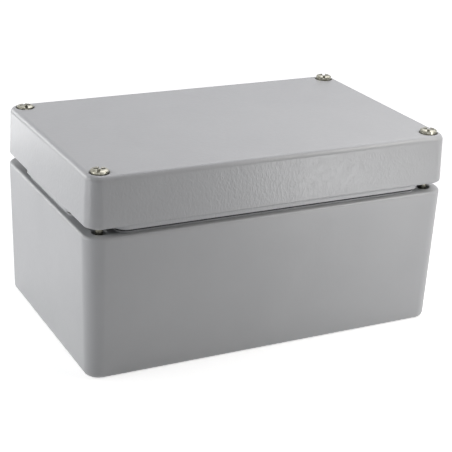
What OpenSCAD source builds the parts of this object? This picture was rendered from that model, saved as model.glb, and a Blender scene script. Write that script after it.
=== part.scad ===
// Sealed die cast aluminium box for electrical gear.
// A drafted base and a drafted lid close on a rubber seal that lies in a groove of the lid.
// The four captive lid screws and the four wall fixing holes sit in the corners, outside the seal.
// Millimetres. The origin is the centre of the underside, X runs along the box and +Z is up.

/* [Box] */
// Length of the base at its rim
box_length = 160; // [156:1:220]
// Width of the base at its rim
box_width = 100; // [98:1:160]
// Height of the base from its underside to its rim
base_height = 59.4; // [58:0.2:100]
// Height of the lid from its lower edge to its top face
lid_height = 20.5; // [19:0.1:30]
// Open seam between the rim and the lid's lower edge while the seal isn't pressed
seam_gap = 3.4; // [3.1:0.1:3.6]
// How far the lid's lower edge stays inside the rim on each side
lid_inset = 0.4; // [0:0.1:0.5]

/* [Casting] */
// Draft of the base's outer and inner walls in degrees
base_draft = 1.25; // [0.5:0.05:1.5]
// Draft of the lid's outer and inner walls in degrees
lid_draft = 2; // [0.5:0.1:2.5]
// Corner radius of the base at its rim
base_corner_r = 7.6; // [6:0.2:8]
// Corner radius of the lid at its lower edge
lid_corner_r = 6.3; // [5:0.1:7]
// Rounding round the underside of the base
base_foot_r = 2.2; // [1:0.1:2.5]
// Rounding along the base's rim
rim_edge_r = 1.2; // [0.3:0.1:1.4]
// Rounding round the lid's top face
lid_top_r = 2.4; // [1:0.1:2.5]
// Rounding along the lid's lower edge
lid_edge_r = 0.9; // [0.3:0.1:1.1]
// Thickness of the base's floor
floor_t = 3.5; // [3:0.1:4.5]
// Thickness of the lid's top
roof_t = 3; // [2.8:0.1:4]

/* [Seal] */
// From the rim's outer edge to the middle of the seal
seal_inset = 3.1; // [3:0.1:3.4]
// Length of each corner, outside the seal, that holds a lid screw and a wall hole
corner_x = 14; // [13.5:0.1:16]
// Width of each corner outside the seal
corner_y = 25; // [24:0.1:30]
// Width of the groove that holds the seal
groove_w = 2.4; // [2:0.1:2.6]
// Depth of the groove above the lid's lower edge
groove_depth = 1.3; // [1:0.1:2]
// Thickness of the lip outside the groove
lip_t = 0.9; // [0.8:0.1:1]
// Thickness of the wall inside the groove
groove_wall_t = 1.4; // [1:0.1:1.6]
// How far the lip hangs below the lid's lower edge
lip_drop = 1.4; // [1.2:0.1:2.2]
// Width of the rib on the rim that presses into the seal
rib_w = 1.2; // [1:0.1:1.4]
// Height of that rib above the rim
rib_h = 0.8; // [0.6:0.1:1.6]

/* [Lid screws] */
// From each outer edge of the lid to the axis of a lid screw
screw_inset = 6.7; // [6.2:0.1:7]
// Diameter of the counterbore for the screw's head
counterbore_d = 7.75; // [7.5:0.05:8]
// Depth of the counterbore
counterbore_depth = 2.1; // [2:0.1:2.4]
// Diameter of the screw's head
head_d = 6.9; // [6.6:0.1:7]
// Height of the screw's head
head_h = 2.6; // [2.4:0.1:2.8]
// Diameter of the thin neck that keeps the screw captive
neck_d = 3.1; // [2.9:0.1:3.2]
// Diameter of the threaded end
thread_d = 4; // [4:0.5:4]
// Length of the threaded end
thread_length = 6.2; // [5:0.1:7]
// How far each head stands above the lid, from the front left one anticlockwise
head_proud = [1.4, 1.6, 1.8, 0.95];
// Turn of each head's slot in degrees, in the same order
slot_turn = [62, 54, 62, 84];

/* [Fixing points] */
// Distance between the wall fixing holes along the box
wall_hole_x = 144; // [144:1:204]
// Distance between the wall fixing holes across the box
wall_hole_y = 65; // [64:1:120]
// Diameter of the wall fixing holes
wall_hole_d = 4.8; // [4.2:0.1:5]
// Distance between the floor bosses along the box
boss_x = 100; // [60:1:110]
// Distance between the floor bosses across the box
boss_y = 70; // [40:1:72]
// Diameter of the floor bosses
boss_d = 9; // [8:0.5:10]
// Height of the floor bosses above the floor
boss_h = 6; // [4:0.5:8]
// From the middle of the box to each earth terminal along its length
earth_x = 58; // [20:1:62]

/* [Hidden] */
$fn = 96;
CAST_FN = 32;
EPS = 0.01;
OVER = 1;

CORNERS = ["front_left", "front_right", "rear_right", "rear_left"];
SIGNS = [[-1, -1], [1, -1], [1, 1], [-1, 1]];

// Levels
rim_z = base_height;
lid_z = rim_z + seam_gap;
top_z = lid_z + lid_height;
roof_z = top_z - roof_t;
lip_z = lid_z - lip_drop;
rib_z = rim_z + rib_h;
groove_z = lid_z + groove_depth;

// Plan sizes
lid_length = box_length - 2 * lid_inset;
lid_width = box_width - 2 * lid_inset;
screw_x = lid_length / 2 - screw_inset;
screw_y = lid_width / 2 - screw_inset;

// Middle line of the seal: a long and a wide rectangle joined, with these corner radii
seal_x = box_length / 2 - seal_inset;
seal_y = box_width / 2 - seal_inset;
seal_neck_x = box_length / 2 - corner_x;
seal_neck_y = box_width / 2 - corner_y;
seal_r = 3.2;
seal_neck_r = 4.5;

// Offsets from the middle line of the seal, outwards positive
lip_out = groove_w / 2 + lip_t;
lid_wall_in = -groove_w / 2 - groove_wall_t;
base_wall_in = -1.5;
lid_cavity_in = lid_wall_in + 0.1;
cavity_r = 4.5;
cavity_edge_r = 1.5;
column_r = 3;
column_inset = 3.2;
gasket_play = 0.1;

// Pocket over each wall fixing hole
pocket = [8.2, 10.4];
pocket_r = 3;
pocket_z = 6;
lid_pocket_less = 1;
lid_pocket_z = roof_z - 1;

// Screw hole of the base: a wide mouth for the retaining washer, then the tapped length
mouth_d = 5.6;
tapped_d = 4.1;
tapped_z = 40;
lid_hole_d = 4.4;
neck_end_z = rim_z - 4.1;
mouth_z = neck_end_z - 0.5;
neck_length = top_z + min(head_proud) - head_h - neck_end_z;
washer_d = 4.9;
washer_hole_d = 3.3;
washer_t = 1;
recess_w = 1;
recess_span = 4.4;
slot_w = 1.2;
slot_depth = 1.1;
recess_depth = 1.7;
head_edge_r = 0.7;
tip_bevel = 0.5;

// Floor bosses and earth terminals
boss_hole_d = 3.3;
boss_hole_depth = 7;
boss_top_z = floor_t + boss_h;
earth_boss_d = 10;
earth_boss_h = 6;
earth_hole_d = 4.2;
earth_thread_d = 4.1;
earth_thread_length = 8;
earth_head_d = 8.5;
earth_head_h = 3.3;
earth_plate = [13, 11, 1.2];
earth_lug_h = 1.8;
earth_washer_d = 8.8;
earth_washer_hole_d = 5.4;
earth_washer_t = 1.2;
earth_slot_w = 1.2;
earth_slot_depth = 1.5;
earth_slot_turn = 30;
earth_gap = 1;
earth_gap_slant = 35;

paint = [0.72, 0.73, 0.75];
stainless = [0.8, 0.79, 0.75];
rubber = [0.13, 0.13, 0.14];
nylon = [0.9, 0.89, 0.85];
zinc = [0.74, 0.75, 0.76];

// Half section of a drafted block: `half` wide at z_wide, narrower at z_narrow, both edges rounded.
module cast_half_section(half, z_wide, z_narrow, draft, wide_r, narrow_r) {
    way = z_narrow > z_wide ? 1 : -1;
    slope = tan(draft);
    wide_c = [half - wide_r * slope - wide_r / cos(draft), z_wide + way * wide_r];
    narrow_z = z_narrow - way * narrow_r;
    narrow_c = [half - abs(narrow_z - z_wide) * slope - narrow_r / cos(draft), narrow_z];
    outward = [cos(draft), way * sin(draft)];
    polygon(concat(
        [[0, z_wide], [wide_c.x, z_wide]],
        wide_r > 0 ? [wide_c, wide_c + wide_r * outward] : [],
        narrow_r > 0 ? [narrow_c + narrow_r * outward, narrow_c] : [],
        [[narrow_c.x, z_narrow], [0, z_narrow]]
    ));
    if (wide_r > 0) translate(wide_c) circle(wide_r);
    if (narrow_r > 0) translate(narrow_c) circle(narrow_r);
}

// Drafted block with round corners, stretched over four turned corner posts.
// `size` and `r` hold at z_wide, and each corner is a cone whose axis stays upright.
module cast_block(size, r, z_wide, z_narrow, draft, wide_r = 0, narrow_r = 0) {
    hull() for (s = SIGNS) translate([s.x * (size.x / 2 - r), s.y * (size.y / 2 - r)])
        rotate_extrude($fn = CAST_FN) cast_half_section(r, z_wide, z_narrow, draft, wide_r, narrow_r, $fn = CAST_FN);
}

// Flat rounded rectangle, given by its half sizes.
module rounded_rectangle(half, r) {
    square([2 * half.x, 2 * (half.y - r)], center = true);
    square([2 * (half.x - r), 2 * half.y], center = true);
    for (s = SIGNS) translate([s.x * (half.x - r), s.y * (half.y - r)]) circle(r);
}

// Outline that runs `d` outside the middle line of the seal and steps in at the four corners.
module seal_outline(d) {
    rounded_rectangle([seal_neck_x + d, seal_y + d], seal_r + d);
    rounded_rectangle([seal_x + d, seal_neck_y + d], seal_r + d);
    neck_r = seal_neck_r - d;
    for (s = SIGNS) scale([s.x, s.y])
        translate([seal_neck_x + d, seal_neck_y + d]) difference() {
            translate([-EPS, -EPS]) square(neck_r + EPS);
            translate([neck_r, neck_r]) circle(neck_r);
        }
}

// Upright ring between two such outlines.
module seal_ring(outer, inner, z_low, z_high) {
    translate([0, 0, z_low]) linear_extrude(z_high - z_low) difference() {
        seal_outline(outer);
        seal_outline(inner);
    }
}

// Four drafted columns that fill the corners of a hollow and carry the lid screws.
// `d` is how far their inner faces stand from the seal's middle line where they are narrow.
module corner_columns(d, z_wide, z_narrow, draft) {
    low = [seal_neck_x + d, seal_neck_y + d];
    taper = abs(z_narrow - z_wide) * tan(draft);
    high = [box_length / 2 - column_inset, box_width / 2 - column_inset];
    at_corners((low.x + high.x) / 2, (low.y + high.y) / 2)
        cast_block(high - low + 2 * [taper, taper], column_r + taper, z_wide, z_narrow, draft);
}

// Repeats its children at the four corners, at [x, y].
module at_corners(x, y) {
    for (s = SIGNS) translate([s.x * x, s.y * y]) children();
}

// Hole pattern of the four floor bosses, at a height.
module at_bosses(z) {
    at_corners(boss_x / 2, boss_y / 2) translate([0, 0, z]) children();
}

module base() {
    color(paint) difference() {
        union() {
            difference() {
                cast_block([box_length, box_width], base_corner_r, rim_z, 0, base_draft, rim_edge_r, base_foot_r);
                cast_block(2 * [seal_x + base_wall_in, seal_y + base_wall_in], cavity_r, rim_z + OVER, floor_t,
                    base_draft, 0, cavity_edge_r);
            }
            corner_columns(base_wall_in, floor_t - OVER, rim_z, base_draft);
            seal_ring(rib_w / 2, -rib_w / 2, rim_z - OVER, rib_z);
            at_bosses(floor_t - OVER) cylinder(h = boss_h + OVER, d = boss_d);
            translate([earth_x, 0, floor_t - OVER]) cylinder(h = earth_boss_h + OVER, d = earth_boss_d);
        }
        at_corners(wall_hole_x / 2, wall_hole_y / 2) {
            translate([0, 0, pocket_z]) linear_extrude(rim_z - pocket_z + OVER) rounded_rectangle(pocket / 2, pocket_r);
            translate([0, 0, -OVER]) cylinder(h = pocket_z + 2 * OVER, d = wall_hole_d);
        }
        at_corners(screw_x, screw_y) {
            translate([0, 0, mouth_z]) cylinder(h = rim_z - mouth_z + OVER, d = mouth_d);
            translate([0, 0, tapped_z]) cylinder(h = mouth_z - tapped_z + OVER, d = tapped_d);
        }
        at_bosses(boss_top_z - boss_hole_depth) cylinder(h = boss_hole_depth + OVER, d = boss_hole_d);
        translate([earth_x, 0, floor_t + earth_boss_h - boss_hole_depth])
            cylinder(h = boss_hole_depth + OVER, d = earth_hole_d);
    }
}

module lid() {
    color(paint) difference() {
        union() {
            difference() {
                cast_block([lid_length, lid_width], lid_corner_r, lid_z, top_z, lid_draft, lid_edge_r, lid_top_r);
                cast_block(2 * [seal_x + lid_cavity_in, seal_y + lid_cavity_in], cavity_r, lid_z - EPS, roof_z,
                    lid_draft, 0, cavity_edge_r);
            }
            corner_columns(lid_cavity_in, roof_z + OVER, lid_z, lid_draft);
            seal_ring(lip_out, lid_wall_in, lip_z, groove_z);
            translate([earth_x, 0, roof_z - earth_boss_h]) cylinder(h = earth_boss_h + OVER, d = earth_boss_d);
        }
        seal_ring(groove_w / 2, -groove_w / 2, lip_z - OVER, groove_z);
        at_corners(wall_hole_x / 2, wall_hole_y / 2) translate([0, 0, lid_z - OVER])
            linear_extrude(lid_pocket_z - lid_z + OVER)
                rounded_rectangle((pocket - [lid_pocket_less, lid_pocket_less]) / 2, pocket_r - lid_pocket_less / 2);
        at_corners(screw_x, screw_y) {
            translate([0, 0, lid_z - OVER]) cylinder(h = lid_height + 2 * OVER, d = lid_hole_d);
            translate([0, 0, top_z - counterbore_depth]) cylinder(h = counterbore_depth + OVER, d = counterbore_d);
        }
        translate([earth_x, 0, roof_z - earth_boss_h - OVER]) cylinder(h = boss_hole_depth + OVER, d = earth_hole_d);
    }
}

module gasket() {
    color(rubber) seal_ring(groove_w / 2 - gasket_play, gasket_play - groove_w / 2, rib_z, groove_z);
}

// Half outline of a lid screw, from the tip of its thread up to the top of its head.
module lid_screw_outline(tip_z, thread_z, head_z) {
    top = head_z + head_h;
    polygon([
        [0, tip_z], [thread_d / 2 - tip_bevel, tip_z], [thread_d / 2, tip_z + tip_bevel],
        [thread_d / 2, thread_z], [neck_d / 2, thread_z], [neck_d / 2, head_z], [head_d / 2, head_z],
        [head_d / 2, top - head_edge_r], [head_d / 2 - head_edge_r, top - head_edge_r],
        [head_d / 2 - head_edge_r, top], [0, top]
    ]);
    translate([head_d / 2 - head_edge_r, top - head_edge_r]) circle(head_edge_r);
}

// Captive cheese head screw of one corner, with a slot and a cross recess.
module lid_screw(corner) {
    top = top_z + head_proud[corner];
    head_z = top - head_h;
    thread_z = head_z - neck_length;
    color(stainless) translate([SIGNS[corner].x * screw_x, SIGNS[corner].y * screw_y])
        difference() {
            rotate_extrude() lid_screw_outline(thread_z - thread_length, thread_z, head_z);
            translate([0, 0, top]) rotate(slot_turn[corner]) {
                cube([head_d + OVER, slot_w, 2 * slot_depth], center = true);
                for (turn = [0, 90]) rotate(turn) cube([recess_span, recess_w, 2 * recess_depth], center = true);
            }
        }
}

// Washer on a lid screw's neck, resting on the end of its thread.
module retaining_washer(corner) {
    thread_z = top_z + head_proud[corner] - head_h - neck_length;
    color(nylon) translate([SIGNS[corner].x * screw_x, SIGNS[corner].y * screw_y, thread_z])
        linear_extrude(washer_t) difference() {
            circle(d = washer_d);
            circle(d = washer_hole_d);
        }
}

// Puts a terminal's parts on the base's boss, or upside down on the lid's boss.
module at_earth(in_lid) {
    if (in_lid) translate([earth_x, 0, roof_z - earth_boss_h]) mirror([0, 0, 1]) children();
    else translate([earth_x, 0, floor_t + earth_boss_h]) children();
}

// Square clamp plate whose two lugs hold it against turning on the boss.
module earth_clamp() {
    color(zinc) difference() {
        union() {
            translate([-earth_plate.x / 2, -earth_plate.y / 2]) cube(earth_plate);
            for (side = [-1, 1])
                translate([side * (earth_plate.x - earth_plate.z) / 2, 0, (earth_plate.z - earth_lug_h) / 2])
                    cube([earth_plate.z, earth_plate.y, earth_plate.z + earth_lug_h], center = true);
        }
        translate([0, 0, -OVER]) cylinder(h = earth_plate.z + 2 * OVER, d = earth_washer_hole_d);
    }
}

// Split spring washer on top of the clamp plate.
module earth_lock_washer() {
    color(zinc) translate([0, 0, earth_plate.z]) difference() {
        cylinder(h = earth_washer_t, d = earth_washer_d);
        translate([0, 0, -OVER]) cylinder(h = earth_washer_t + 2 * OVER, d = earth_washer_hole_d);
        translate([0, earth_washer_d / 2, earth_washer_t / 2]) rotate([0, earth_gap_slant, 0])
            cube([earth_gap, earth_washer_d, 2 * earth_washer_d], center = true);
    }
}

// Slotted cheese head screw that presses the terminal together.
module earth_screw() {
    seat = earth_plate.z + earth_washer_t;
    color(zinc) difference() {
        union() {
            translate([0, 0, seat]) cylinder(h = earth_head_h, d = earth_head_d);
            translate([0, 0, seat - earth_thread_length]) cylinder(h = earth_thread_length, d = earth_thread_d);
        }
        translate([0, 0, seat + earth_head_h]) rotate(earth_slot_turn)
            cube([earth_head_d + OVER, earth_slot_w, 2 * earth_slot_depth], center = true);
    }
}

base();
lid();
gasket();
for (corner = [0:3]) {
    lid_screw(corner);
    retaining_washer(corner);
}
at_earth(false) earth_screw();  // base_earth_screw
at_earth(false) earth_lock_washer();  // base_earth_lock_washer
at_earth(false) earth_clamp();  // base_earth_clamp
at_earth(true) earth_screw();  // lid_earth_screw
at_earth(true) earth_lock_washer();  // lid_earth_lock_washer
at_earth(true) earth_clamp();  // lid_earth_clamp
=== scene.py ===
"""Dresses the sealed die cast aluminium box: castings, seal, captive screws, earth terminals and studio."""

from __future__ import annotations

import logging
import math
from dataclasses import dataclass
from enum import Enum

import bmesh
import bpy
from mathutils import Matrix, Vector


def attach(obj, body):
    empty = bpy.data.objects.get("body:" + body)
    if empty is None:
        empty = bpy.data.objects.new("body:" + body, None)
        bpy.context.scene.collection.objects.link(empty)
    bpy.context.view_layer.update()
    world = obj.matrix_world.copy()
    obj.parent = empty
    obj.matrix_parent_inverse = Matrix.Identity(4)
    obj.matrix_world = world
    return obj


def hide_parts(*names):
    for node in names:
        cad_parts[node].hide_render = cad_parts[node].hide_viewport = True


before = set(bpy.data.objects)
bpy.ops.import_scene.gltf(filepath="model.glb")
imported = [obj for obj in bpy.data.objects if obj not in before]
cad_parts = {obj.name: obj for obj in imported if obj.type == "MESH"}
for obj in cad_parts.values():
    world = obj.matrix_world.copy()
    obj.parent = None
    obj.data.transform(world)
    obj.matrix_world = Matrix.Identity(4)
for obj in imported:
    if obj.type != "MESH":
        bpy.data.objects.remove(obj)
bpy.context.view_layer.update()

LOG = logging.getLogger("cast_box")
MM = 0.001
Point2 = tuple[float, float]
Point3 = tuple[float, float, float]
Colour = tuple[float, float, float]
Socket = bpy.types.NodeSocket
Object = bpy.types.Object
Material = bpy.types.Material


class Boolean(Enum):
    """How one solid works on another."""

    ADD = "UNION"
    CUT = "DIFFERENCE"


class Corner(Enum):
    """The four corners of the box, with the signs of their X and Y."""

    FRONT_LEFT = (-1, -1)
    FRONT_RIGHT = (1, -1)
    REAR_RIGHT = (1, 1)
    REAR_LEFT = (-1, 1)

    @property
    def label(self) -> str:
        """The corner's name as the nodes spell it."""
        return self.name.lower()


# ---------------------------------------------------------------- shader helpers


@dataclass(frozen=True)
class Grain:
    """A noise pattern: the size of a blotch in metres, its finer layers and how far it is pulled about."""

    size: float
    detail: float = 2.0
    distortion: float = 0.0


class ShaderTree:
    """The nodes of a new material or world, with short calls to add and join them."""

    def __init__(self, name: str, world: bool = False) -> None:
        """Starts an empty material or world.

        Args:
            name: Its name.
            world: Whether it is a world.
        """
        self.owner = bpy.data.worlds.new(name) if world else bpy.data.materials.new(name)
        self.owner.use_nodes = True
        self.tree = self.owner.node_tree
        self.tree.nodes.clear()
        self.output = self.add("OutputWorld" if world else "OutputMaterial")

    def add(self, kind: str, **settings: object) -> bpy.types.Node:
        """Adds a node.

        Args:
            kind: Node type without its ShaderNode prefix.
            settings: Properties of the node by name, or input sockets by their label with _ for a space.

        Returns:
            The new node.
        """
        node = self.tree.nodes.new("ShaderNode" + kind)
        for key, value in settings.items():
            if hasattr(node, key):
                setattr(node, key, value)
            else:
                node.inputs[key.replace("_", " ")].default_value = value
        return node

    def link(self, source: Socket, target: Socket) -> None:
        """Joins an output to an input."""
        self.tree.links.new(source, target)

    def object_position(self) -> Socket:
        """Returns the socket that carries Object coordinates."""
        return self.add("TexCoord").outputs["Object"]

    def math(self, operation: str, first: Socket, second: Socket) -> Socket:
        """Works out one number from two.

        Args:
            operation: What is done with them.
            first: The first number.
            second: The second number.

        Returns:
            The result's socket.
        """
        node = self.add("Math", operation=operation)
        for source, target in zip((first, second), node.inputs):
            self.link(source, target)
        return node.outputs[0]

    def map_range(self, value: Socket, span: Point2, onto: Point2) -> Socket:
        """Maps a value from one span onto another and holds it at the ends.

        Args:
            value: The value.
            span: Low and high end on the way in.
            onto: Low and high end of the result.

        Returns:
            The mapped value's socket.
        """
        node = self.add("MapRange", From_Min=span[0], From_Max=span[1], To_Min=onto[0], To_Max=onto[1])
        self.link(value, node.inputs["Value"])
        return node.outputs["Result"]

    def seen_directly(self, low: float, high: float) -> Socket:
        """Tells rays that show the background, also in metal and glass, from those that light things.

        Args:
            low: Value for rays that light things.
            high: Value for camera, glossy and transmission rays.

        Returns:
            The value's socket.
        """
        path = self.add("LightPath").outputs
        seen = path["Is Camera Ray"]
        for ray in ("Is Glossy Ray", "Is Transmission Ray"):
            seen = self.math("MAXIMUM", seen, path[ray])
        return self.map_range(seen, (0.0, 1.0), (low, high))

    def finish(self, shader: bpy.types.Node) -> Material | bpy.types.World:
        """Joins the shader to the output and returns the material or world."""
        self.link(shader.outputs[0], self.output.inputs["Surface"])
        return self.owner


class Surface(ShaderTree):
    """A material with one main shader, whose patterns lie on Object coordinates."""

    # Nearly all of a noise pattern lies in this span.
    noise_span: Point2 = (0.25, 0.75)
    # A Mix node has its factor in input 0 and its colours in these inputs and this output.
    mix_inputs: tuple[int, int] = (6, 7)
    mix_output: int = 2

    def __init__(self, name: str, **settings: float) -> None:
        """Starts the material.

        Args:
            name: Its name.
            settings: Inputs of the main shader by their label.
        """
        super().__init__(name)
        self.place = self.object_position()
        self.shader = self.add("BsdfPrincipled", **settings)

    def stretched(self, scale: Point3, turn_deg: float = 0.0) -> Socket:
        """Scales Object coordinates and then turns them about Z.

        Args:
            scale: Factor along each axis.
            turn_deg: Angle of the turn.

        Returns:
            The socket that carries them.
        """
        node = self.add("Mapping", Scale=scale, Rotation=(0.0, 0.0, math.radians(turn_deg)))
        self.link(self.place, node.inputs["Vector"])
        return node.outputs["Vector"]

    def noise(self, grain: Grain, place: Socket | None = None) -> Socket:
        """Adds a noise pattern.

        Args:
            grain: The pattern.
            place: Where it reads its place from, Object coordinates unless given.

        Returns:
            The pattern's value socket, from 0 to 1.
        """
        node = self.add("TexNoise", Scale=1.0 / grain.size, Detail=grain.detail)
        node.inputs["Distortion"].default_value = grain.distortion
        self.link(self.place if place is None else place, node.inputs["Vector"])
        return node.outputs["Fac"]

    def colour(self, pattern: Socket, dark: Colour, light: Colour) -> None:
        """Clouds two colours into each other.

        Args:
            pattern: Noise from 0 to 1.
            dark: Colour at its low end.
            light: Colour at its high end.
        """
        node = self.add("Mix", data_type="RGBA")
        for index, tint in zip(self.mix_inputs, (dark, light)):
            node.inputs[index].default_value = (*tint, 1.0)
        self.link(self.map_range(pattern, self.noise_span, (0.0, 1.0)), node.inputs[0])
        self.link(node.outputs[self.mix_output], self.shader.inputs["Base Color"])

    def rough(self, pattern: Socket, span: Point2) -> None:
        """Varies the roughness over a span by a pattern."""
        self.link(self.map_range(pattern, self.noise_span, span), self.shader.inputs["Roughness"])

    def bump(self, height: Socket, depth: float, below: Socket | None = None) -> Socket:
        """Adds a bump.

        Args:
            height: Height from 0 to 1.
            depth: Height of a full step in metres.
            below: Normal of a bump that this one lies on.

        Returns:
            The normal's socket.
        """
        node = self.add("Bump", Strength=1.0, Distance=depth)
        self.link(height, node.inputs["Height"])
        if below is not None:
            self.link(below, node.inputs["Normal"])
        return node.outputs["Normal"]

    def end(self, normal: Socket) -> Material:
        """Gives the shader its normal and returns the finished material."""
        self.link(normal, self.shader.inputs["Normal"])
        return self.finish(self.shader)


# ---------------------------------------------------------------- mesh helpers


def new_object(name: str, vertices: list[Point3], faces: list, edges: list | tuple = ()) -> Object:
    """Makes a mesh object at the origin.

    Args:
        name: Name of the object.
        vertices: Points in metres.
        faces: Point indices of each face.
        edges: Point indices of each edge that no face has.

    Returns:
        The object, linked to the scene.
    """
    mesh = bpy.data.meshes.new(name)
    mesh.from_pydata(vertices, edges, faces)
    mesh.update()
    made = bpy.data.objects.new(name, mesh)
    bpy.context.scene.collection.objects.link(made)
    return made


def remove(made: Object) -> None:
    """Deletes an object and its mesh.

    Args:
        made: The object.
    """
    mesh = made.data
    bpy.data.objects.remove(made)
    bpy.data.meshes.remove(mesh)


def bake_modifiers(made: Object) -> None:
    """Turns an object's evaluated shape into its plain mesh.

    Args:
        made: Object with live modifiers, which are removed.
    """
    bpy.context.view_layer.update()
    graph = bpy.context.evaluated_depsgraph_get()
    mesh = bpy.data.meshes.new_from_object(made.evaluated_get(graph), depsgraph=graph)
    made.modifiers.clear()
    old = made.data
    made.data = mesh
    if old.users == 0:
        bpy.data.meshes.remove(old)


def smooth(made: Object, sharp_deg: float = 28.0, weight: int = 80) -> None:
    """Shades a piece smooth, keeps its sharp edges and lets its large faces set the normals.

    Args:
        made: The piece.
        sharp_deg: Angle from which an edge stays sharp.
        weight: How strongly the large faces count.
    """
    for polygon in made.data.polygons:
        polygon.use_smooth = True
    made.data.set_sharp_from_angle(angle=math.radians(sharp_deg))
    weighted = made.modifiers.new("weighted_normals", "WEIGHTED_NORMAL")
    weighted.keep_sharp = True
    weighted.weight = weight
    bake_modifiers(made)


def face_outwards(made: Object, merge: float = 1e-7) -> None:
    """Makes the faces of a closed mesh point outwards.

    Args:
        made: The piece.
        merge: Distance in metres below which two points become one.
    """
    work = bmesh.new()
    work.from_mesh(made.data)
    bmesh.ops.remove_doubles(work, verts=work.verts, dist=merge)
    bmesh.ops.recalc_face_normals(work, faces=work.faces)
    if work.calc_volume(signed=True) < 0:
        bmesh.ops.reverse_faces(work, faces=work.faces)
    work.to_mesh(made.data)
    work.free()
    made.data.update()


def arc(centre: Point2, radius: float, start_deg: float, end_deg: float, steps: int) -> list[Point2]:
    """Points along an arc.

    Args:
        centre: Centre of the arc.
        radius: Its radius.
        start_deg: Angle of the first point.
        end_deg: Angle of the last point.
        steps: Number of stretches.

    Returns:
        The points, both ends included.
    """
    angles = [math.radians(start_deg + (end_deg - start_deg) * i / steps) for i in range(steps + 1)]
    return [(centre[0] + radius * math.cos(a), centre[1] + radius * math.sin(a)) for a in angles]


def rod(diameter: float, z_low: float, z_high: float) -> list[Point2]:
    """Returns the profile of a plain round rod."""
    return [(diameter / 2, z_low), (diameter / 2, z_high)]


def at_corners(x: float, y: float) -> list[Point2]:
    """Returns the four points that lie at x and y from the middle."""
    return [(corner.value[0] * x, corner.value[1] * y) for corner in Corner]


def band(low: int, high: int, count: int) -> list[list[int]]:
    """Four-sided faces between two closed rings of points.

    Args:
        low: Index of the first ring's first point.
        high: Index of the second ring's first point.
        count: Number of points in each.

    Returns:
        Point indices of each face.
    """
    return [[low + i, low + (i + 1) % count, high + (i + 1) % count, high + i] for i in range(count)]


def stack(name: str, rings: list[list[Point3]]) -> Object:
    """Joins rings of points into a closed solid.

    Args:
        name: Name of the object.
        rings: The rings from the lowest up, anticlockwise, in metres.

    Returns:
        A mesh whose faces point outwards, with a flat face at each end.
    """
    count = len(rings[0])
    vertices = [point for ring in rings for point in ring]
    faces = [list(range(count))[::-1], [len(vertices) - count + i for i in range(count)]]
    for row in range(len(rings) - 1):
        faces += band(row * count, (row + 1) * count, count)
    return new_object(name, vertices, faces)


def lathe(name: str, profile: list[Point2], centre: Point2, steps: int = 96) -> Object:
    """Turns a profile round an upright axis.

    Args:
        name: Name of the object.
        profile: Radius and height of each ring, from the lowest up.
        centre: Place of the axis in millimetres.
        steps: Number of points round the axis.

    Returns:
        A closed mesh whose faces point outwards.
    """
    turns = [2 * math.pi * i / steps for i in range(steps)]
    return stack(name, [
        [
            ((centre[0] + radius * math.cos(turn)) * MM, (centre[1] + radius * math.sin(turn)) * MM, z * MM)
            for turn in turns
        ]
        for radius, z in profile
    ])


def ring_prism(name: str, outer: list[Point2], inner: list[Point2], z_low: float, z_high: float) -> Object:
    """Upright ring between two outlines of the same number of points.

    Args:
        name: Name of the object.
        outer: Outer outline, anticlockwise.
        inner: Inner outline, anticlockwise.
        z_low: Height of its lower face.
        z_high: Height of its upper face.

    Returns:
        A closed mesh whose faces point outwards.
    """
    rows = ((outer, z_low), (outer, z_high), (inner, z_high), (inner, z_low))
    count = len(outer)
    faces = []
    for row in range(len(rows)):
        faces += band(row * count, (row + 1) % len(rows) * count, count)
    return new_object(name, [(x * MM, y * MM, z * MM) for outline, z in rows for x, y in outline], faces)


def join(name: str, parts: list[Object]) -> Object:
    """Joins mesh objects that don't touch into one.

    Args:
        name: Name of the joined object.
        parts: The objects, which are used up.

    Returns:
        The joined object.
    """
    vertices: list = []
    faces: list = []
    for part in parts:
        first = len(vertices)
        vertices += [tuple(v.co) for v in part.data.vertices]
        faces += [[first + i for i in p.vertices] for p in part.data.polygons]
        remove(part)
    return new_object(name, vertices, faces)


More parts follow.
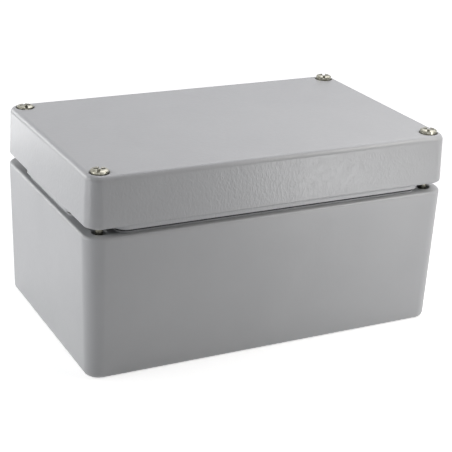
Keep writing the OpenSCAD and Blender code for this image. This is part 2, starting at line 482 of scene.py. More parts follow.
@dataclass(frozen=True)
class CastBlock:
    """Drafted block with round corners and edges, as a die leaves it. Sizes are millimetres."""

    length: float
    width: float
    corner_r: float
    z_wide: float
    z_narrow: float
    draft_deg: float
    wide_r: float = 0.0
    narrow_r: float = 0.0
    corner_steps: int = 14
    edge_steps: int = 8
    least_r: float = 0.02

    def rows(self) -> list[Point2]:
        """Works out the rows of points.

        Returns:
            The inset and the height of each row, from the wide end.
        """
        way = 1.0 if self.z_narrow > self.z_wide else -1.0
        slope = math.tan(math.radians(self.draft_deg))
        lean = 1.0 / math.cos(math.radians(self.draft_deg))
        rows: list[Point2] = []
        if self.wide_r:
            centre = (self.wide_r * (slope + lean), self.wide_r)
            rows += arc(centre, self.wide_r, -90, -180 - self.draft_deg, self.edge_steps)
        else:
            rows.append((0.0, 0.0))
        height = abs(self.z_narrow - self.z_wide)
        if self.narrow_r:
            at = height - self.narrow_r
            centre = (at * slope + self.narrow_r * lean, at)
            rows += arc(centre, self.narrow_r, 180 - self.draft_deg, 90, self.edge_steps)
        else:
            rows.append((height * slope, height))
        return [(inset, self.z_wide + way * rise) for inset, rise in rows]

    def ring(self, inset: float, z: float, middle: Point2) -> list[Point3]:
        """One row of points round the block.

        Args:
            inset: How far inside the wide outline it runs.
            z: Its height.
            middle: Place of its middle.

        Returns:
            The points in metres.
        """
        radius = max(self.corner_r - inset, self.least_r)
        points = []
        for quarter, (sx, sy) in enumerate(((1, 1), (-1, 1), (-1, -1), (1, -1))):
            centre = (sx * (self.length / 2 - self.corner_r), sy * (self.width / 2 - self.corner_r))
            points += arc(centre, radius, 90 * quarter, 90 * quarter + 90, self.corner_steps)
        return [(x * MM + middle[0] * MM, y * MM + middle[1] * MM, z * MM) for x, y in points]

    def build(self, name: str, middle: Point2 = (0.0, 0.0)) -> Object:
        """Makes the block.

        Args:
            name: Name of the object.
            middle: Place of its middle in millimetres.

        Returns:
            A closed mesh whose faces point outwards.
        """
        rings = [self.ring(inset, z, middle) for inset, z in self.rows()]
        if self.z_narrow < self.z_wide:
            rings.reverse()
        return stack(name, rings)


# ---------------------------------------------------------------- finishes


@dataclass(frozen=True)
class PowderCoat:
    """Light grey powder coat with the fine orange peel of a stoved finish."""

    name: str
    peel_depth: float
    light: Colour = (0.565, 0.575, 0.59)
    dark: Colour = (0.53, 0.54, 0.557)
    cloud: Grain = Grain(0.035, 3.0, 0.4)
    roughness: Point2 = (0.28, 0.36)
    haze: Grain = Grain(0.002, 3.0)
    wave: Grain = Grain(0.011, 1.0)
    wave_depth: float = 0.00009
    peel: Grain = Grain(0.0011, 1.5, 0.6)
    peel_scale: Point3 = (1.0, 1.0, 0.6)

    def make(self) -> Material:
        """Builds the material.

        Returns:
            The material.
        """
        tree = Surface(self.name, IOR=1.5)
        tree.colour(tree.noise(self.cloud), self.dark, self.light)
        tree.rough(tree.noise(self.haze), self.roughness)
        wave = tree.bump(tree.noise(self.wave), self.wave_depth)
        peel = tree.noise(self.peel, tree.stretched(self.peel_scale))
        return tree.end(tree.bump(peel, self.peel_depth, wave))


@dataclass(frozen=True)
class BareCasting:
    """Aluminium as it comes out of the die, with cloudy flow marks."""

    light: Colour = (0.63, 0.64, 0.65)
    dark: Colour = (0.44, 0.45, 0.46)
    flow: Grain = Grain(0.016, 5.0, 1.6)
    flow_depth: float = 0.0002
    roughness: Point2 = (0.34, 0.56)
    haze: Grain = Grain(0.004, 3.0, 0.8)
    skin: Grain = Grain(0.0005, 3.0)
    skin_depth: float = 0.00003

    def make(self) -> Material:
        """Builds the material.

        Returns:
            The material.
        """
        tree = Surface("bare_casting", Metallic=1.0)
        flow = tree.noise(self.flow)
        tree.colour(flow, self.dark, self.light)
        tree.rough(tree.noise(self.haze), self.roughness)
        return tree.end(tree.bump(tree.noise(self.skin), self.skin_depth, tree.bump(flow, self.flow_depth)))


@dataclass(frozen=True)
class MetalFinish:
    """Turned or plated metal: a colour that clouds a little, and fine scratches."""

    name: str
    light: Colour
    dark: Colour
    roughness: Point2
    cloud: Grain = Grain(0.003, 3.0, 0.5)
    scratch: Grain = Grain(0.00022)
    scratch_scale: Point3 = (1.0, 0.12, 1.0)
    scratch_turn_deg: float = 25.0
    scratch_depth: float = 0.000004

    def make(self) -> Material:
        """Builds the material.

        Returns:
            The material.
        """
        tree = Surface(self.name, Metallic=1.0)
        tree.colour(tree.noise(self.cloud), self.dark, self.light)
        scratch = tree.noise(self.scratch, tree.stretched(self.scratch_scale, self.scratch_turn_deg))
        tree.rough(scratch, self.roughness)
        return tree.end(tree.bump(scratch, self.scratch_depth))


@dataclass(frozen=True)
class MouldedFinish:
    """Moulded rubber or nylon with a faint grain."""

    name: str
    light: Colour
    dark: Colour
    roughness: Point2
    cloud: Grain = Grain(0.004, 3.0)
    grain: Grain = Grain(0.0004)
    grain_depth: float = 0.00001

    def make(self) -> Material:
        """Builds the material.

        Returns:
            The material.
        """
        tree = Surface(self.name, IOR=1.5)
        tree.colour(tree.noise(self.cloud), self.dark, self.light)
        grain = tree.noise(self.grain)
        tree.rough(grain, self.roughness)
        return tree.end(tree.bump(grain, self.grain_depth))


class Finishes:
    """Every finish of the box, made once."""

    def __init__(self) -> None:
        """Builds the materials."""
        self.coats = {
            "base": PowderCoat("base_coat", 0.00003).make(),
            "lid": PowderCoat("lid_coat", 0.00010).make(),
        }
        self.bare = BareCasting().make()
        self.stainless = MetalFinish(
            "stainless_steel", (0.47, 0.46, 0.40), (0.2, 0.19, 0.14), (0.2, 0.38), Grain(0.0012, 3.0, 0.5)
        ).make()
        # Near-black steel: painted shade for the screws' recess, slot, head side and neck, where the
        # counterbore and the seam gap would shade them.
        self.painted_shade_steel = MetalFinish(
            "painted_shade_steel", (0.05, 0.048, 0.037), (0.018, 0.017, 0.013), (0.65, 0.85), Grain(0.001, 3.0, 0.5)
        ).make()
        self.zinc = MetalFinish("zinc_plate", (0.70, 0.71, 0.73), (0.55, 0.56, 0.55), (0.3, 0.5)).make()
        self.rubber = MouldedFinish(
            "seal_rubber", (0.03, 0.03, 0.031), (0.018, 0.018, 0.019), (0.5, 0.66)
        ).make()
        self.nylon = MouldedFinish("nylon", (0.78, 0.765, 0.71), (0.7, 0.685, 0.63), (0.36, 0.5)).make()


# ---------------------------------------------------------------- castings


@dataclass(frozen=True)
class BoxSizes:
    """Sizes of the closed box in millimetres, the same as its solids have."""

    length: float = 160.0
    width: float = 100.0
    rim_z: float = 59.4
    lid_height: float = 20.5
    seam_gap: float = 3.4
    lid_inset: float = 0.4
    floor_t: float = 3.5
    roof_t: float = 3.0
    seal_inset: float = 3.1
    corner_x: float = 14.0
    corner_y: float = 25.0
    groove_w: float = 2.4
    groove_depth: float = 1.3
    lip_t: float = 0.9
    groove_wall_t: float = 1.4
    lip_drop: float = 1.4
    rib_w: float = 1.2
    rib_h: float = 0.8
    base_wall_in: float = -1.5
    cavity_r: float = 4.5
    cavity_edge_r: float = 1.5
    column_r: float = 3.0
    column_inset: float = 3.2
    seal_r: float = 3.2
    seal_neck_r: float = 4.5
    pocket: Point2 = (8.2, 10.4)
    pocket_r: float = 3.0
    pocket_z: float = 6.0
    lid_pocket_less: float = 1.0
    wall_hole: Point2 = (144.0, 65.0)
    wall_hole_d: float = 4.8
    screw_inset: float = 6.7
    neck_end: float = 4.1
    head_proud: tuple[float, float, float, float] = (1.4, 1.6, 1.8, 0.95)
    head_h: float = 2.6
    counterbore_depth: float = 2.1
    earth_x: float = 58.0
    earth_boss_d: float = 10.0
    earth_boss_h: float = 6.0
    earth_hole_d: float = 4.2
    hole_depth: float = 7.0
    # How far a solid reaches past the face that it joins or opens, and a step too small to see.
    over: float = 1.0
    hair: float = 0.01

    @property
    def lid_z(self) -> float:
        """Height of the lid's lower edge."""
        return self.rim_z + self.seam_gap

    @property
    def top_z(self) -> float:
        """Height of the lid's top face."""
        return self.lid_z + self.lid_height

    @property
    def roof_z(self) -> float:
        """Height of the underside of the lid's top."""
        return self.top_z - self.roof_t

    @property
    def rib_z(self) -> float:
        """Height of the rib that presses into the seal."""
        return self.rim_z + self.rib_h

    @property
    def groove_z(self) -> float:
        """Height of the bottom of the seal's groove."""
        return self.lid_z + self.groove_depth

    @property
    def lip_z(self) -> float:
        """Height of the end of the lip round the groove."""
        return self.lid_z - self.lip_drop

    @property
    def seal_x(self) -> float:
        """Half length of the seal's middle line."""
        return self.length / 2 - self.seal_inset

    @property
    def seal_y(self) -> float:
        """Half width of the seal's middle line."""
        return self.width / 2 - self.seal_inset

    @property
    def neck_x(self) -> float:
        """Half length between the corners that stay outside the seal."""
        return self.length / 2 - self.corner_x

    @property
    def neck_y(self) -> float:
        """Half width between the corners that stay outside the seal."""
        return self.width / 2 - self.corner_y

    @property
    def lid_wall_in(self) -> float:
        """Offset of the inside of the lid's groove wall from the seal's middle line."""
        return -self.groove_w / 2 - self.groove_wall_t

    @property
    def screw_points(self) -> list[Point2]:
        """Places of the four lid screws."""
        inset = self.lid_inset + self.screw_inset
        return at_corners(self.length / 2 - inset, self.width / 2 - inset)

    @property
    def wall_hole_points(self) -> list[Point2]:
        """Places of the four wall fixing holes."""
        return at_corners(self.wall_hole[0] / 2, self.wall_hole[1] / 2)

    @property
    def earth_points(self) -> list[Point2]:
        """Place of the one earth boss in each casting."""
        return [(self.earth_x, 0.0)]

    @property
    def seat_z(self) -> float:
        """Height of the step at the bottom of the counterbores."""
        return self.top_z - self.counterbore_depth

    @property
    def neck_end_z(self) -> float:
        """Height at which the neck of the lowest screw ends."""
        return self.rim_z - self.neck_end

    @property
    def neck_length(self) -> float:
        """Length of a screw's neck, from under its head to its thread."""
        return self.top_z + min(self.head_proud) - self.head_h - self.neck_end_z

    def seal_outline(self, offset: float, steps: int = 10) -> list[Point2]:
        """Outline that runs beside the seal's middle line and steps in at the four corners.

        Args:
            offset: Distance outside the middle line, or inside where negative.
            steps: Number of stretches in each rounding.

        Returns:
            The points, anticlockwise.
        """
        convex, hollow = self.seal_r + offset, self.seal_neck_r - offset
        quarter = (
            arc((self.seal_x - self.seal_r, self.neck_y - self.seal_r), convex, 0, 90, steps)
            + arc((self.neck_x + self.seal_neck_r, self.neck_y + self.seal_neck_r), hollow, 270, 180, steps)
            + arc((self.neck_x - self.seal_r, self.seal_y - self.seal_r), convex, 0, 90, steps)
        )
        left = [(-x, y) for x, y in reversed(quarter)]
        return quarter + left + [(-x, -y) for x, y in quarter] + [(x, -y) for x, y in reversed(quarter)]


@dataclass
class SubAssembly:
    """What every sub-assembly is made from."""

    sizes: BoxSizes
    finishes: Finishes


class CastPart:
    """Common work of the two castings: solids are added to and cut from a first block."""

    def __init__(self, sizes: BoxSizes, finishes: Finishes, node: str, block: CastBlock) -> None:
        """Starts the casting.

        Args:
            sizes: Sizes of the box.
            finishes: Materials.
            node: Name of the solid that the casting stands for.
            block: The casting before it is worked.
        """
        self.sizes = sizes
        self.node = node
        self.draft = block.draft_deg
        self.made = block.build(node + "_casting")
        self.tools: list[Object] = []
        for material in (finishes.coats[node], finishes.bare):
            self.made.data.materials.append(material)

    def work(self, how: Boolean, tool: Object, coated: bool = False) -> None:
        """Adds a solid or cuts it away.

        Args:
            how: Whether it is added or cut.
            tool: The solid.
            coated: Whether the faces that it leaves are coated.
        """
        for material in self.made.data.materials:
            tool.data.materials.append(material)
        for polygon in tool.data.polygons:
            polygon.material_index = 0 if coated else 1
        modifier = self.made.modifiers.new(tool.name, "BOOLEAN")
        modifier.operation = how.value
        modifier.solver = "MANIFOLD"
        modifier.material_mode = "INDEX"
        modifier.object = tool
        self.tools.append(tool)

    def hollow(self, wall_in: float, z_open: float, z_end: float) -> None:
        """Cuts the drafted inside.

        Args:
            wall_in: Offset of the walls from the seal's middle line, where they are wide apart.
            z_open: Height of the open end.
            z_end: Height of the closed end.
        """
        s = self.sizes
        length, width = 2 * (s.seal_x + wall_in), 2 * (s.seal_y + wall_in)
        block = CastBlock(length, width, s.cavity_r, z_open, z_end, self.draft, 0, s.cavity_edge_r)
        self.work(Boolean.CUT, block.build(self.node + "_cavity"))

    def columns(self, offset: float, z_wide: float, z_narrow: float) -> None:
        """Adds the four drafted columns that carry the lid screws.

        Args:
            offset: Place of their inner faces from the seal's middle line, where they are narrow.
            z_wide: Height of their wide end.
            z_narrow: Height of their narrow end.
        """
        s = self.sizes
        low = (s.neck_x + offset, s.neck_y + offset)
        high = (s.length / 2 - s.column_inset, s.width / 2 - s.column_inset)
        taper = abs(z_narrow - z_wide) * math.tan(math.radians(self.draft))
        length, width = (end - start + 2 * taper for start, end in zip(low, high))
        block = CastBlock(length, width, s.column_r + taper, z_wide, z_narrow, self.draft)
        middles = at_corners((low[0] + high[0]) / 2, (low[1] + high[1]) / 2)
        self.repeat(Boolean.ADD, "columns", block, middles)

    def repeat(self, how: Boolean, name: str, block: CastBlock, middles: list[Point2]) -> None:
        """Adds a block or cuts it away at several places."""
        self.work(how, join(f"{self.node}_{name}", [block.build(name, middle) for middle in middles]))

    def ring(self, how: Boolean, name: str, outer: float, inner: float, z_low: float, z_high: float) -> None:
        """Adds or cuts a coated ring that follows the seal's line.

        Args:
            how: Whether it is added or cut.
            name: Name of the ring.
            outer: Offset of its outer face from the middle line.
            inner: Offset of its inner face.
            z_low: Height of its lower face.
            z_high: Height of its upper face.
        """
        lines = (self.sizes.seal_outline(outer), self.sizes.seal_outline(inner))
        self.work(how, ring_prism(f"{self.node}_{name}", *lines, z_low, z_high), coated=True)

    def turned(
        self, how: Boolean, name: str, points: list[Point2], profile: list[Point2], coated: bool = False
    ) -> None:
        """Adds or cuts a turned solid at several places.

        Args:
            how: Whether it is added or cut.
            name: Name of the solids.
            points: Places of their axes.
            profile: Radius and height of each ring, from the lowest up.
            coated: Whether the faces that they leave are coated.
        """
        solids = join(f"{self.node}_{name}", [lathe(name, profile, point) for point in points])
        self.work(how, solids, coated)

    def dress(self) -> list[Object]:
        """Applies the work, shades the casting and lets it stand for its solid.

        Returns:
            The casting.
        """
        bake_modifiers(self.made)
        for tool in self.tools:
            remove(tool)
        smooth(self.made)
        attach(self.made, self.node)
        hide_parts(self.node)
        return [self.made]


@dataclass
class BaseCasting(SubAssembly):
    """The base: drafted walls, floor bosses, screw columns and the rib on its rim."""

    draft: float = 1.25
    corner_r: float = 7.6
    foot_r: float = 2.2
    rim_r: float = 1.2
    boss: Point2 = (100.0, 70.0)
    boss_d: float = 9.0
    boss_h: float = 6.0
    boss_flare: float = 0.2
    boss_bevel: float = 0.3
    boss_hole_d: float = 3.3
    boss_mouth: Point2 = (0.31, 0.3)
    wall_hole_bevel: float = 0.4
    screw_mouth_d: float = 5.6
    screw_mouth: Point2 = (0.32, 0.3)
    screw_spare: float = 0.5
    tapped_d: float = 4.1
    tapped_z: float = 40.0

    def build(self) -> list[Object]:
        """Makes the base.

        Returns:
            The base.
        """
        s = self.sizes
        block = CastBlock(s.length, s.width, self.corner_r, s.rim_z, 0, self.draft, self.rim_r, self.foot_r)
        part = CastPart(s, self.finishes, "base", block)
        buried = s.floor_t - s.over
        part.hollow(s.base_wall_in, s.rim_z + s.over, s.floor_t)
        part.columns(s.base_wall_in, buried, s.rim_z)
        part.ring(Boolean.ADD, "rib", s.rib_w / 2, -s.rib_w / 2, s.rim_z - s.over, s.rib_z)

        boss_points = at_corners(self.boss[0] / 2, self.boss[1] / 2)
        boss_r, boss_z = self.boss_d / 2, s.floor_t + self.boss_h
        side = [(boss_r + self.boss_flare, buried), (boss_r, boss_z - self.boss_bevel)]
        part.turned(Boolean.ADD, "bosses", boss_points, [*side, (boss_r - self.boss_bevel, boss_z)])
        earth_z = s.floor_t + s.earth_boss_h
        part.turned(Boolean.ADD, "earth_boss", s.earth_points, rod(s.earth_boss_d, buried, earth_z))

        pocket = CastBlock(*s.pocket, s.pocket_r, s.rim_z + s.over, s.pocket_z, 0)
        part.repeat(Boolean.CUT, "pockets", pocket, s.wall_hole_points)
        wide = (s.wall_hole_d / 2 + self.wall_hole_bevel, -s.hair)
        through = rod(s.wall_hole_d, self.wall_hole_bevel, s.pocket_z + s.over)
        part.turned(Boolean.CUT, "wall_holes", s.wall_hole_points, [wide, *through])
        mouth_z = s.neck_end_z - self.screw_spare
        thread = rod(self.tapped_d, self.tapped_z, mouth_z)
        mouth = self.mouth(self.screw_mouth_d, mouth_z + 2 * s.hair, s.rim_z, self.screw_mouth)
        part.turned(Boolean.CUT, "screw_holes", s.screw_points, thread + mouth)
        hole = self.mouth(self.boss_hole_d, boss_z - s.hole_depth, boss_z, self.boss_mouth)
        part.turned(Boolean.CUT, "boss_holes", boss_points, hole)
        earth_hole = rod(s.earth_hole_d, earth_z - s.hole_depth, earth_z + s.over)
        part.turned(Boolean.CUT, "earth_hole", s.earth_points, earth_hole)
        return part.dress()

    def mouth(self, diameter: float, z_low: float, z_high: float, bevel: Point2) -> list[Point2]:
        """Profile of a hole that opens with a bevel.

        Args:
            diameter: Its diameter.
            z_low: Height of its lower end.
            z_high: Height of the face that it opens in.
            bevel: How far the bevel reaches out and down.

        Returns:
            Radius and height of each ring.
        """
        straight = rod(diameter, z_low, z_high - bevel[1])
        return [*straight, (diameter / 2 + bevel[0], z_high + self.sizes.hair)]


@dataclass
class LidCasting(SubAssembly):
    """The lid: drafted hood with the seal's groove and lip, screw columns and counterbores."""

    draft: float = 2.0
    corner_r: float = 6.3
    top_r: float = 2.4
    edge_r: float = 0.9
    wall_overlap: float = 0.1
    hole_d: float = 4.4
    counterbore_d: float = 7.75
    counterbore_edge_r: float = 0.3
    counterbore_steps: int = 5

    def build(self) -> list[Object]:
        """Makes the lid.

        Returns:
            The lid.
        """
        s = self.sizes
        length, width = s.length - 2 * s.lid_inset, s.width - 2 * s.lid_inset
        edges = (self.edge_r, self.top_r)
        block = CastBlock(length, width, self.corner_r, s.lid_z, s.top_z, self.draft, *edges)
        part = CastPart(s, self.finishes, "lid", block)
        wall_in = s.lid_wall_in + self.wall_overlap
        part.hollow(wall_in, s.lid_z - s.hair, s.roof_z)
        part.columns(wall_in, s.roof_z + s.over, s.lid_z)
        part.ring(Boolean.ADD, "lip", s.groove_w / 2 + s.lip_t, s.lid_wall_in, s.lip_z, s.groove_z)
        earth_z = s.roof_z - s.earth_boss_h
        earth_boss = rod(s.earth_boss_d, earth_z, s.roof_z + s.over)
        part.turned(Boolean.ADD, "earth_boss", s.earth_points, earth_boss)

        part.ring(Boolean.CUT, "groove", s.groove_w / 2, -s.groove_w / 2, s.lip_z - s.over, s.groove_z)
        less, open_z = s.lid_pocket_less, s.lid_z - s.over
        length, width = (side - less for side in s.pocket)
        pocket = CastBlock(length, width, s.pocket_r - less / 2, open_z, s.roof_z - s.over, 0)
        part.repeat(Boolean.CUT, "pockets", pocket, s.wall_hole_points)
        part.turned(Boolean.CUT, "screw_holes", s.screw_points, self.screw_hole(), coated=True)
        earth_hole = rod(s.earth_hole_d, earth_z - s.over, earth_z - s.over + s.hole_depth)
        part.turned(Boolean.CUT, "earth_hole", s.earth_points, earth_hole)
        return part.dress()

    def screw_hole(self) -> list[Point2]:
        """Profile of a screw hole with its counterbore, whose edge is rounded.

        Returns:
            Radius and height of each ring.
        """
        s = self.sizes
        edge, radius = self.counterbore_edge_r, self.counterbore_d / 2
        rounding = arc((radius + edge, s.top_z - edge), edge, 180, 90, self.counterbore_steps)
        hole = rod(self.hole_d, s.lid_z - s.over, s.seat_z)
        above = (radius + edge + s.hair, s.top_z + s.over / 2)
        return [*hole, (radius, s.seat_z + s.hair), *rounding, above]


# ---------------------------------------------------------------- pieces made by Geometry Nodes


class NodeTree:
    """A Geometry Nodes tree with named inputs, and short calls to add and join its nodes."""

    def __init__(self, name: str, values: dict[str, float | Point3]) -> None:
        """Starts the tree.

        Args:
            name: Name of the tree.
            values: Default of each number or vector input.
        """
        self.tree = bpy.data.node_groups.new(name, "GeometryNodeTree")
        face = self.tree.interface
        face.new_socket("Geometry", in_out="INPUT", socket_type="NodeSocketGeometry")
        for label, value in values.items():
            kind = "NodeSocketVector" if isinstance(value, tuple) else "NodeSocketFloat"
            face.new_socket(label, in_out="INPUT", socket_type=kind).default_value = value
        face.new_socket("Material", in_out="INPUT", socket_type="NodeSocketMaterial")
        face.new_socket("Geometry", in_out="OUTPUT", socket_type="NodeSocketGeometry")
        self.inputs = self.tree.nodes.new("NodeGroupInput").outputs
        self.output = self.tree.nodes.new("NodeGroupOutput").inputs["Geometry"]

    def add(self, kind: str, *values: object, **settings: object) -> bpy.types.Node:
        """Adds a node.

        Args:
            kind: Full node type.
            values: Sockets or plain values for its first inputs, in order.
            settings: Properties of the node by name.

        Returns:
            The new node.
        """
        node = self.tree.nodes.new(kind)
        for key, value in settings.items():
            setattr(node, key, value)
        open_inputs = [socket for socket in node.inputs if socket.enabled]
        for socket, value in zip(open_inputs, values):
            if isinstance(value, Socket):
                self.link(value, socket)
            else:
                socket.default_value = value
        return node

    def link(self, source: Socket, target: Socket) -> None:
        """Joins an output to an input."""
        self.tree.links.new(source, target)

    def math(self, operation: str, *values: object) -> Socket:
        """Adds a Math node and returns its result."""
        return self.add("ShaderNodeMath", *values, operation=operation).outputs[0]

    def times(self, *values: object) -> Socket:
        """Multiplies two numbers and returns the result."""
        return self.math("MULTIPLY", *values)

    def less(self, *values: object) -> Socket:
        """Takes the second number from the first and returns the result."""
        return self.math("SUBTRACT", *values)

    def position(self) -> tuple[Socket, Socket, Socket, Socket]:
        """Reads where each point is.

        Returns:
            Its X, Y and Z, and the square of its distance from the Z axis.
        """
        place = self.add("GeometryNodeInputPosition").outputs[0]
        x, y, z = self.add("ShaderNodeSeparateXYZ", place).outputs
        return x, y, z, self.math("ADD", self.times(x, x), self.times(y, y))

    def vector(self, x: object, y: object, z: object) -> Socket:
        """Adds a vector of three numbers and returns it."""
        return self.add("ShaderNodeCombineXYZ", x, y, z).outputs[0]

    def change(self, kind: str, mesh: Socket, what: str, vector: Socket) -> Socket:
        """Moves, turns or reshapes a mesh.

        Args:
            kind: Node type without its GeometryNode prefix.
            mesh: The mesh.
            what: Name of the input that the vector goes to.
            vector: The vector.

        Returns:
            The changed mesh's socket.
        """
        node = self.add("GeometryNode" + kind, mesh)
        self.link(vector, node.inputs[what])
        return node.outputs[0]

    def end(self, geometry: Socket) -> None:
        """Realizes, paints and gives out the geometry.

        Args:
            geometry: What the tree has made.
        """
        real = self.add("GeometryNodeRealizeInstances", geometry)
        paint = self.add("GeometryNodeSetMaterial", real.outputs[0])
        self.link(self.inputs["Material"], paint.inputs["Material"])
        self.link(paint.outputs[0], self.output)

    def run(self, made: Object, values: dict[str, object]) -> None:
        """Turns an object into what the tree makes, as a plain mesh.

        Args:
            made: The object that the tree works on.
            values: Input values by name.
        """
        modifier = made.modifiers.new(self.tree.name, "NODES")
        modifier.node_group = self.tree
        for item in self.tree.interface.items_tree:
            if item.in_out == "INPUT" and item.name in values:
                modifier[item.identifier] = values[item.name]
        bake_modifiers(made)


@dataclass
class Seal(SubAssembly):
    """The rubber seal: a rounded strip that runs round the lid's groove."""

    play: float = 0.1
    edge_r: float = 0.45
    edge_points: int = 4
    sharp_deg: float = 50.0

    def tree(self, values: dict[str, float]) -> NodeTree:
        """Builds the tree that sweeps the strip along a closed line.

        Args:
            values: Default of each number input.

        Returns:
            The tree.
        """
        nodes = NodeTree("seal_strip", values)
        line = nodes.add("GeometryNodeMeshToCurve", nodes.inputs["Geometry"])
        section = nodes.add(
            "GeometryNodeCurvePrimitiveQuadrilateral", nodes.inputs["Width"], nodes.inputs["Height"]
        )
        rounded = nodes.add("GeometryNodeFilletCurve", section.outputs[0], mode="POLY")
        rounded.inputs["Count"].default_value = self.edge_points
        nodes.link(nodes.inputs["Edge Radius"], rounded.inputs["Radius"])
        strip = nodes.add("GeometryNodeCurveToMesh", line.outputs[0], rounded.outputs[0])
        nodes.end(strip.outputs[0])
        return nodes

    def build(self) -> list[Object]:
        """Makes the seal.

        Returns:
            The seal.
        """
        s = self.sizes
        middle = (s.rib_z + s.groove_z) / 2
        points = [(x * MM, y * MM, middle * MM) for x, y in s.seal_outline(0.0)]
        edges = [(i, (i + 1) % len(points)) for i in range(len(points))]
        made = new_object("seal_strip", points, [], edges)
        values = {
            "Width": (s.groove_w - 2 * self.play) * MM,
            "Height": (s.groove_z - s.rib_z) * MM,
            "Edge Radius": self.edge_r * MM,
        }
        self.tree(values).run(made, values | {"Material": self.finishes.rubber})
        face_outwards(made)
        smooth(made, self.sharp_deg)
        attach(made, "lid")
        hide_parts("gasket")
        return [made]


@dataclass
class LidScrews(SubAssembly):
    """The four captive lid screws: cheese head with a slot and a cross recess, thin neck, rolled thread."""

    head_d: float = 6.9
    head_parts: tuple[int, int, int] = (64, 1, 10)
    neck_d: float = 3.1
    neck_overlap: float = 0.02
    neck_parts: tuple[int, int, int] = (32, 1, 1)
    thread_d: float = 4.0
    thread_length: float = 6.2
    pitch: float = 0.7
    thread_depth: float = 0.38
    thread_flank: float = 1.15
    thread_taper: float = 0.5
    thread_parts: tuple[int, int, int] = (48, 150, 1)
    core_r: float = 1.0
    slot_w: float = 1.2
    slot_depth: float = 1.1
    slot_reach: float = 2.4
    recess_w: float = 1.0
    recess_span: float = 4.4
    recess_depth: float = 1.7
    crown: float = 0.5
    crown_power: float = 3.0
    crown_from: float = 0.9
    edge_r: float = 0.28
    edge_steps: int = 3
    edge_angle: float = 0.6
    # Faces lower than this under the head's top get the painted shade.
    bright_depth: float = 0.35
    sharp_deg: float = 32.0
    slot_turn: tuple[float, float, float, float] = (62.0, 54.0, 62.0, 84.0)

    def measures(self) -> dict[str, float | Point3]:
        """Lists the inputs of the tree for a screw that isn't placed yet.

        Returns:
            Their values by name, in metres and radians.
        """
        sizes = {
            "Head Radius": self.head_d / 2,
            "Head Height": self.sizes.head_h,
            "Crown": self.crown,
            "Neck Radius": self.neck_d / 2,
            "Neck Length": self.sizes.neck_length,
            "Thread Radius": self.thread_d / 2,
            "Thread Length": self.thread_length,
            "Pitch": self.pitch,
            "Thread Depth": self.thread_depth,
            "Slot Width": self.slot_w,
            "Slot Depth": self.slot_depth,
            "Recess Width": self.recess_w,
            "Recess Span": self.recess_span,
            "Recess Depth": self.recess_depth,
        }
        scaled = {name: size * MM for name, size in sizes.items()}
        return scaled | {"Slot Turn": 0.0, "Place": (0.0, 0.0, 0.0)}

    def tree(self) -> NodeTree:
        """Builds the tree that makes one screw with its head's seat at its place.

        Returns:
            The tree.
        """
        n = NodeTree("captive_screw", self.measures())
        i = n.inputs
        neck_low = n.times(i["Neck Length"], -1.0)
        neck_tall = n.math("ADD", i["Neck Length"], self.neck_overlap * MM)
        neck = self.cylinder(n, i["Neck Radius"], neck_tall, neck_low, self.neck_parts)
        thread_low = n.less(neck_low, i["Thread Length"])
        shank = self.cylinder(n, i["Thread Radius"], i["Thread Length"], thread_low, self.thread_parts)
        whole = n.add("GeometryNodeJoinGeometry")
        for part in (self.rolled_thread(n, shank, neck_low), neck, self.head(n)):
            n.link(part, whole.inputs[0])
        n.end(n.change("Transform", whole.outputs[0], "Translation", i["Place"]))
        return n

    def head(self, n: NodeTree) -> Socket:
        """Adds the turned head with its slot and cross recess, and marks the edges that get rounded.

        Args:
            n: The tree.

        Returns:
            The mesh's socket.
        """
        i = n.inputs
        head = self.crowned(n, self.cylinder(n, i["Head Radius"], i["Head Height"], 0.0, self.head_parts))
        cut = n.add("GeometryNodeMeshBoolean", head, operation="DIFFERENCE", solver="EXACT")
        for length, width, depth in (
            (n.times(i["Head Radius"], self.slot_reach), i["Slot Width"], i["Slot Depth"]),
            (i["Recess Span"], i["Recess Width"], i["Recess Depth"]),
            (i["Recess Width"], i["Recess Span"], i["Recess Depth"]),
        ):
            bar = n.add("GeometryNodeMeshCube", n.vector(length, width, n.times(depth, 2.0)))
            top = n.vector(0.0, 0.0, i["Head Height"])
            sunk = n.change("Transform", bar.outputs["Mesh"], "Translation", top)
            n.link(sunk, cut.inputs["Mesh 2"])
        turned = n.change("Transform", cut.outputs[0], "Rotation", n.vector(0.0, 0.0, i["Slot Turn"]))
        angle = n.add("GeometryNodeInputMeshEdgeAngle").outputs["Unsigned Angle"]
        sharp = n.add("FunctionNodeCompare", angle, self.edge_angle, operation="GREATER_THAN")
        marked = n.add("GeometryNodeStoreNamedAttribute", data_type="FLOAT", domain="EDGE")
        n.link(turned, marked.inputs["Geometry"])
        marked.inputs["Name"].default_value = "bevel_weight_edge"
        n.link(sharp.outputs[0], marked.inputs["Value"])
        return marked.outputs[0]

    def cylinder(
        self, n: NodeTree, radius: Socket, height: Socket, low: Socket | float, parts: tuple[int, int, int]
    ) -> Socket:
        """Adds an upright cylinder.

        Args:
            n: The tree.
            radius: Its radius.
            height: Its height.
            low: Height of its lower end.
            parts: Points round it, stretches along it and rings of its two ends.

        Returns:
            The mesh's socket.
        """
        made = n.add("GeometryNodeMeshCylinder")
        for label, count in zip(("Vertices", "Side Segments", "Fill Segments"), parts):
            made.inputs[label].default_value = count
        n.link(radius, made.inputs["Radius"])
        n.link(height, made.inputs["Depth"])
        middle = n.math("ADD", n.times(height, 0.5), low)
        return n.change("Transform", made.outputs["Mesh"], "Translation", n.vector(0.0, 0.0, middle))

    def crowned(self, n: NodeTree, head: Socket) -> Socket:
        """Rounds the head's flat top down at its rim.

        Args:
            n: The tree.
            head: A cylinder that stands on zero.

        Returns:
            The mesh's socket.
        """
        i = n.inputs
        _, _, z, out = n.position()
        rim = n.times(i["Head Radius"], i["Head Radius"])
        share = n.math("POWER", n.math("DIVIDE", out, rim), self.crown_power)
        above = n.math("GREATER_THAN", z, n.times(i["Head Height"], self.crown_from))
        drop = n.times(n.times(share, above), n.times(i["Crown"], -1.0))
        return n.change("SetPosition", head, "Offset", n.vector(0.0, 0.0, drop))

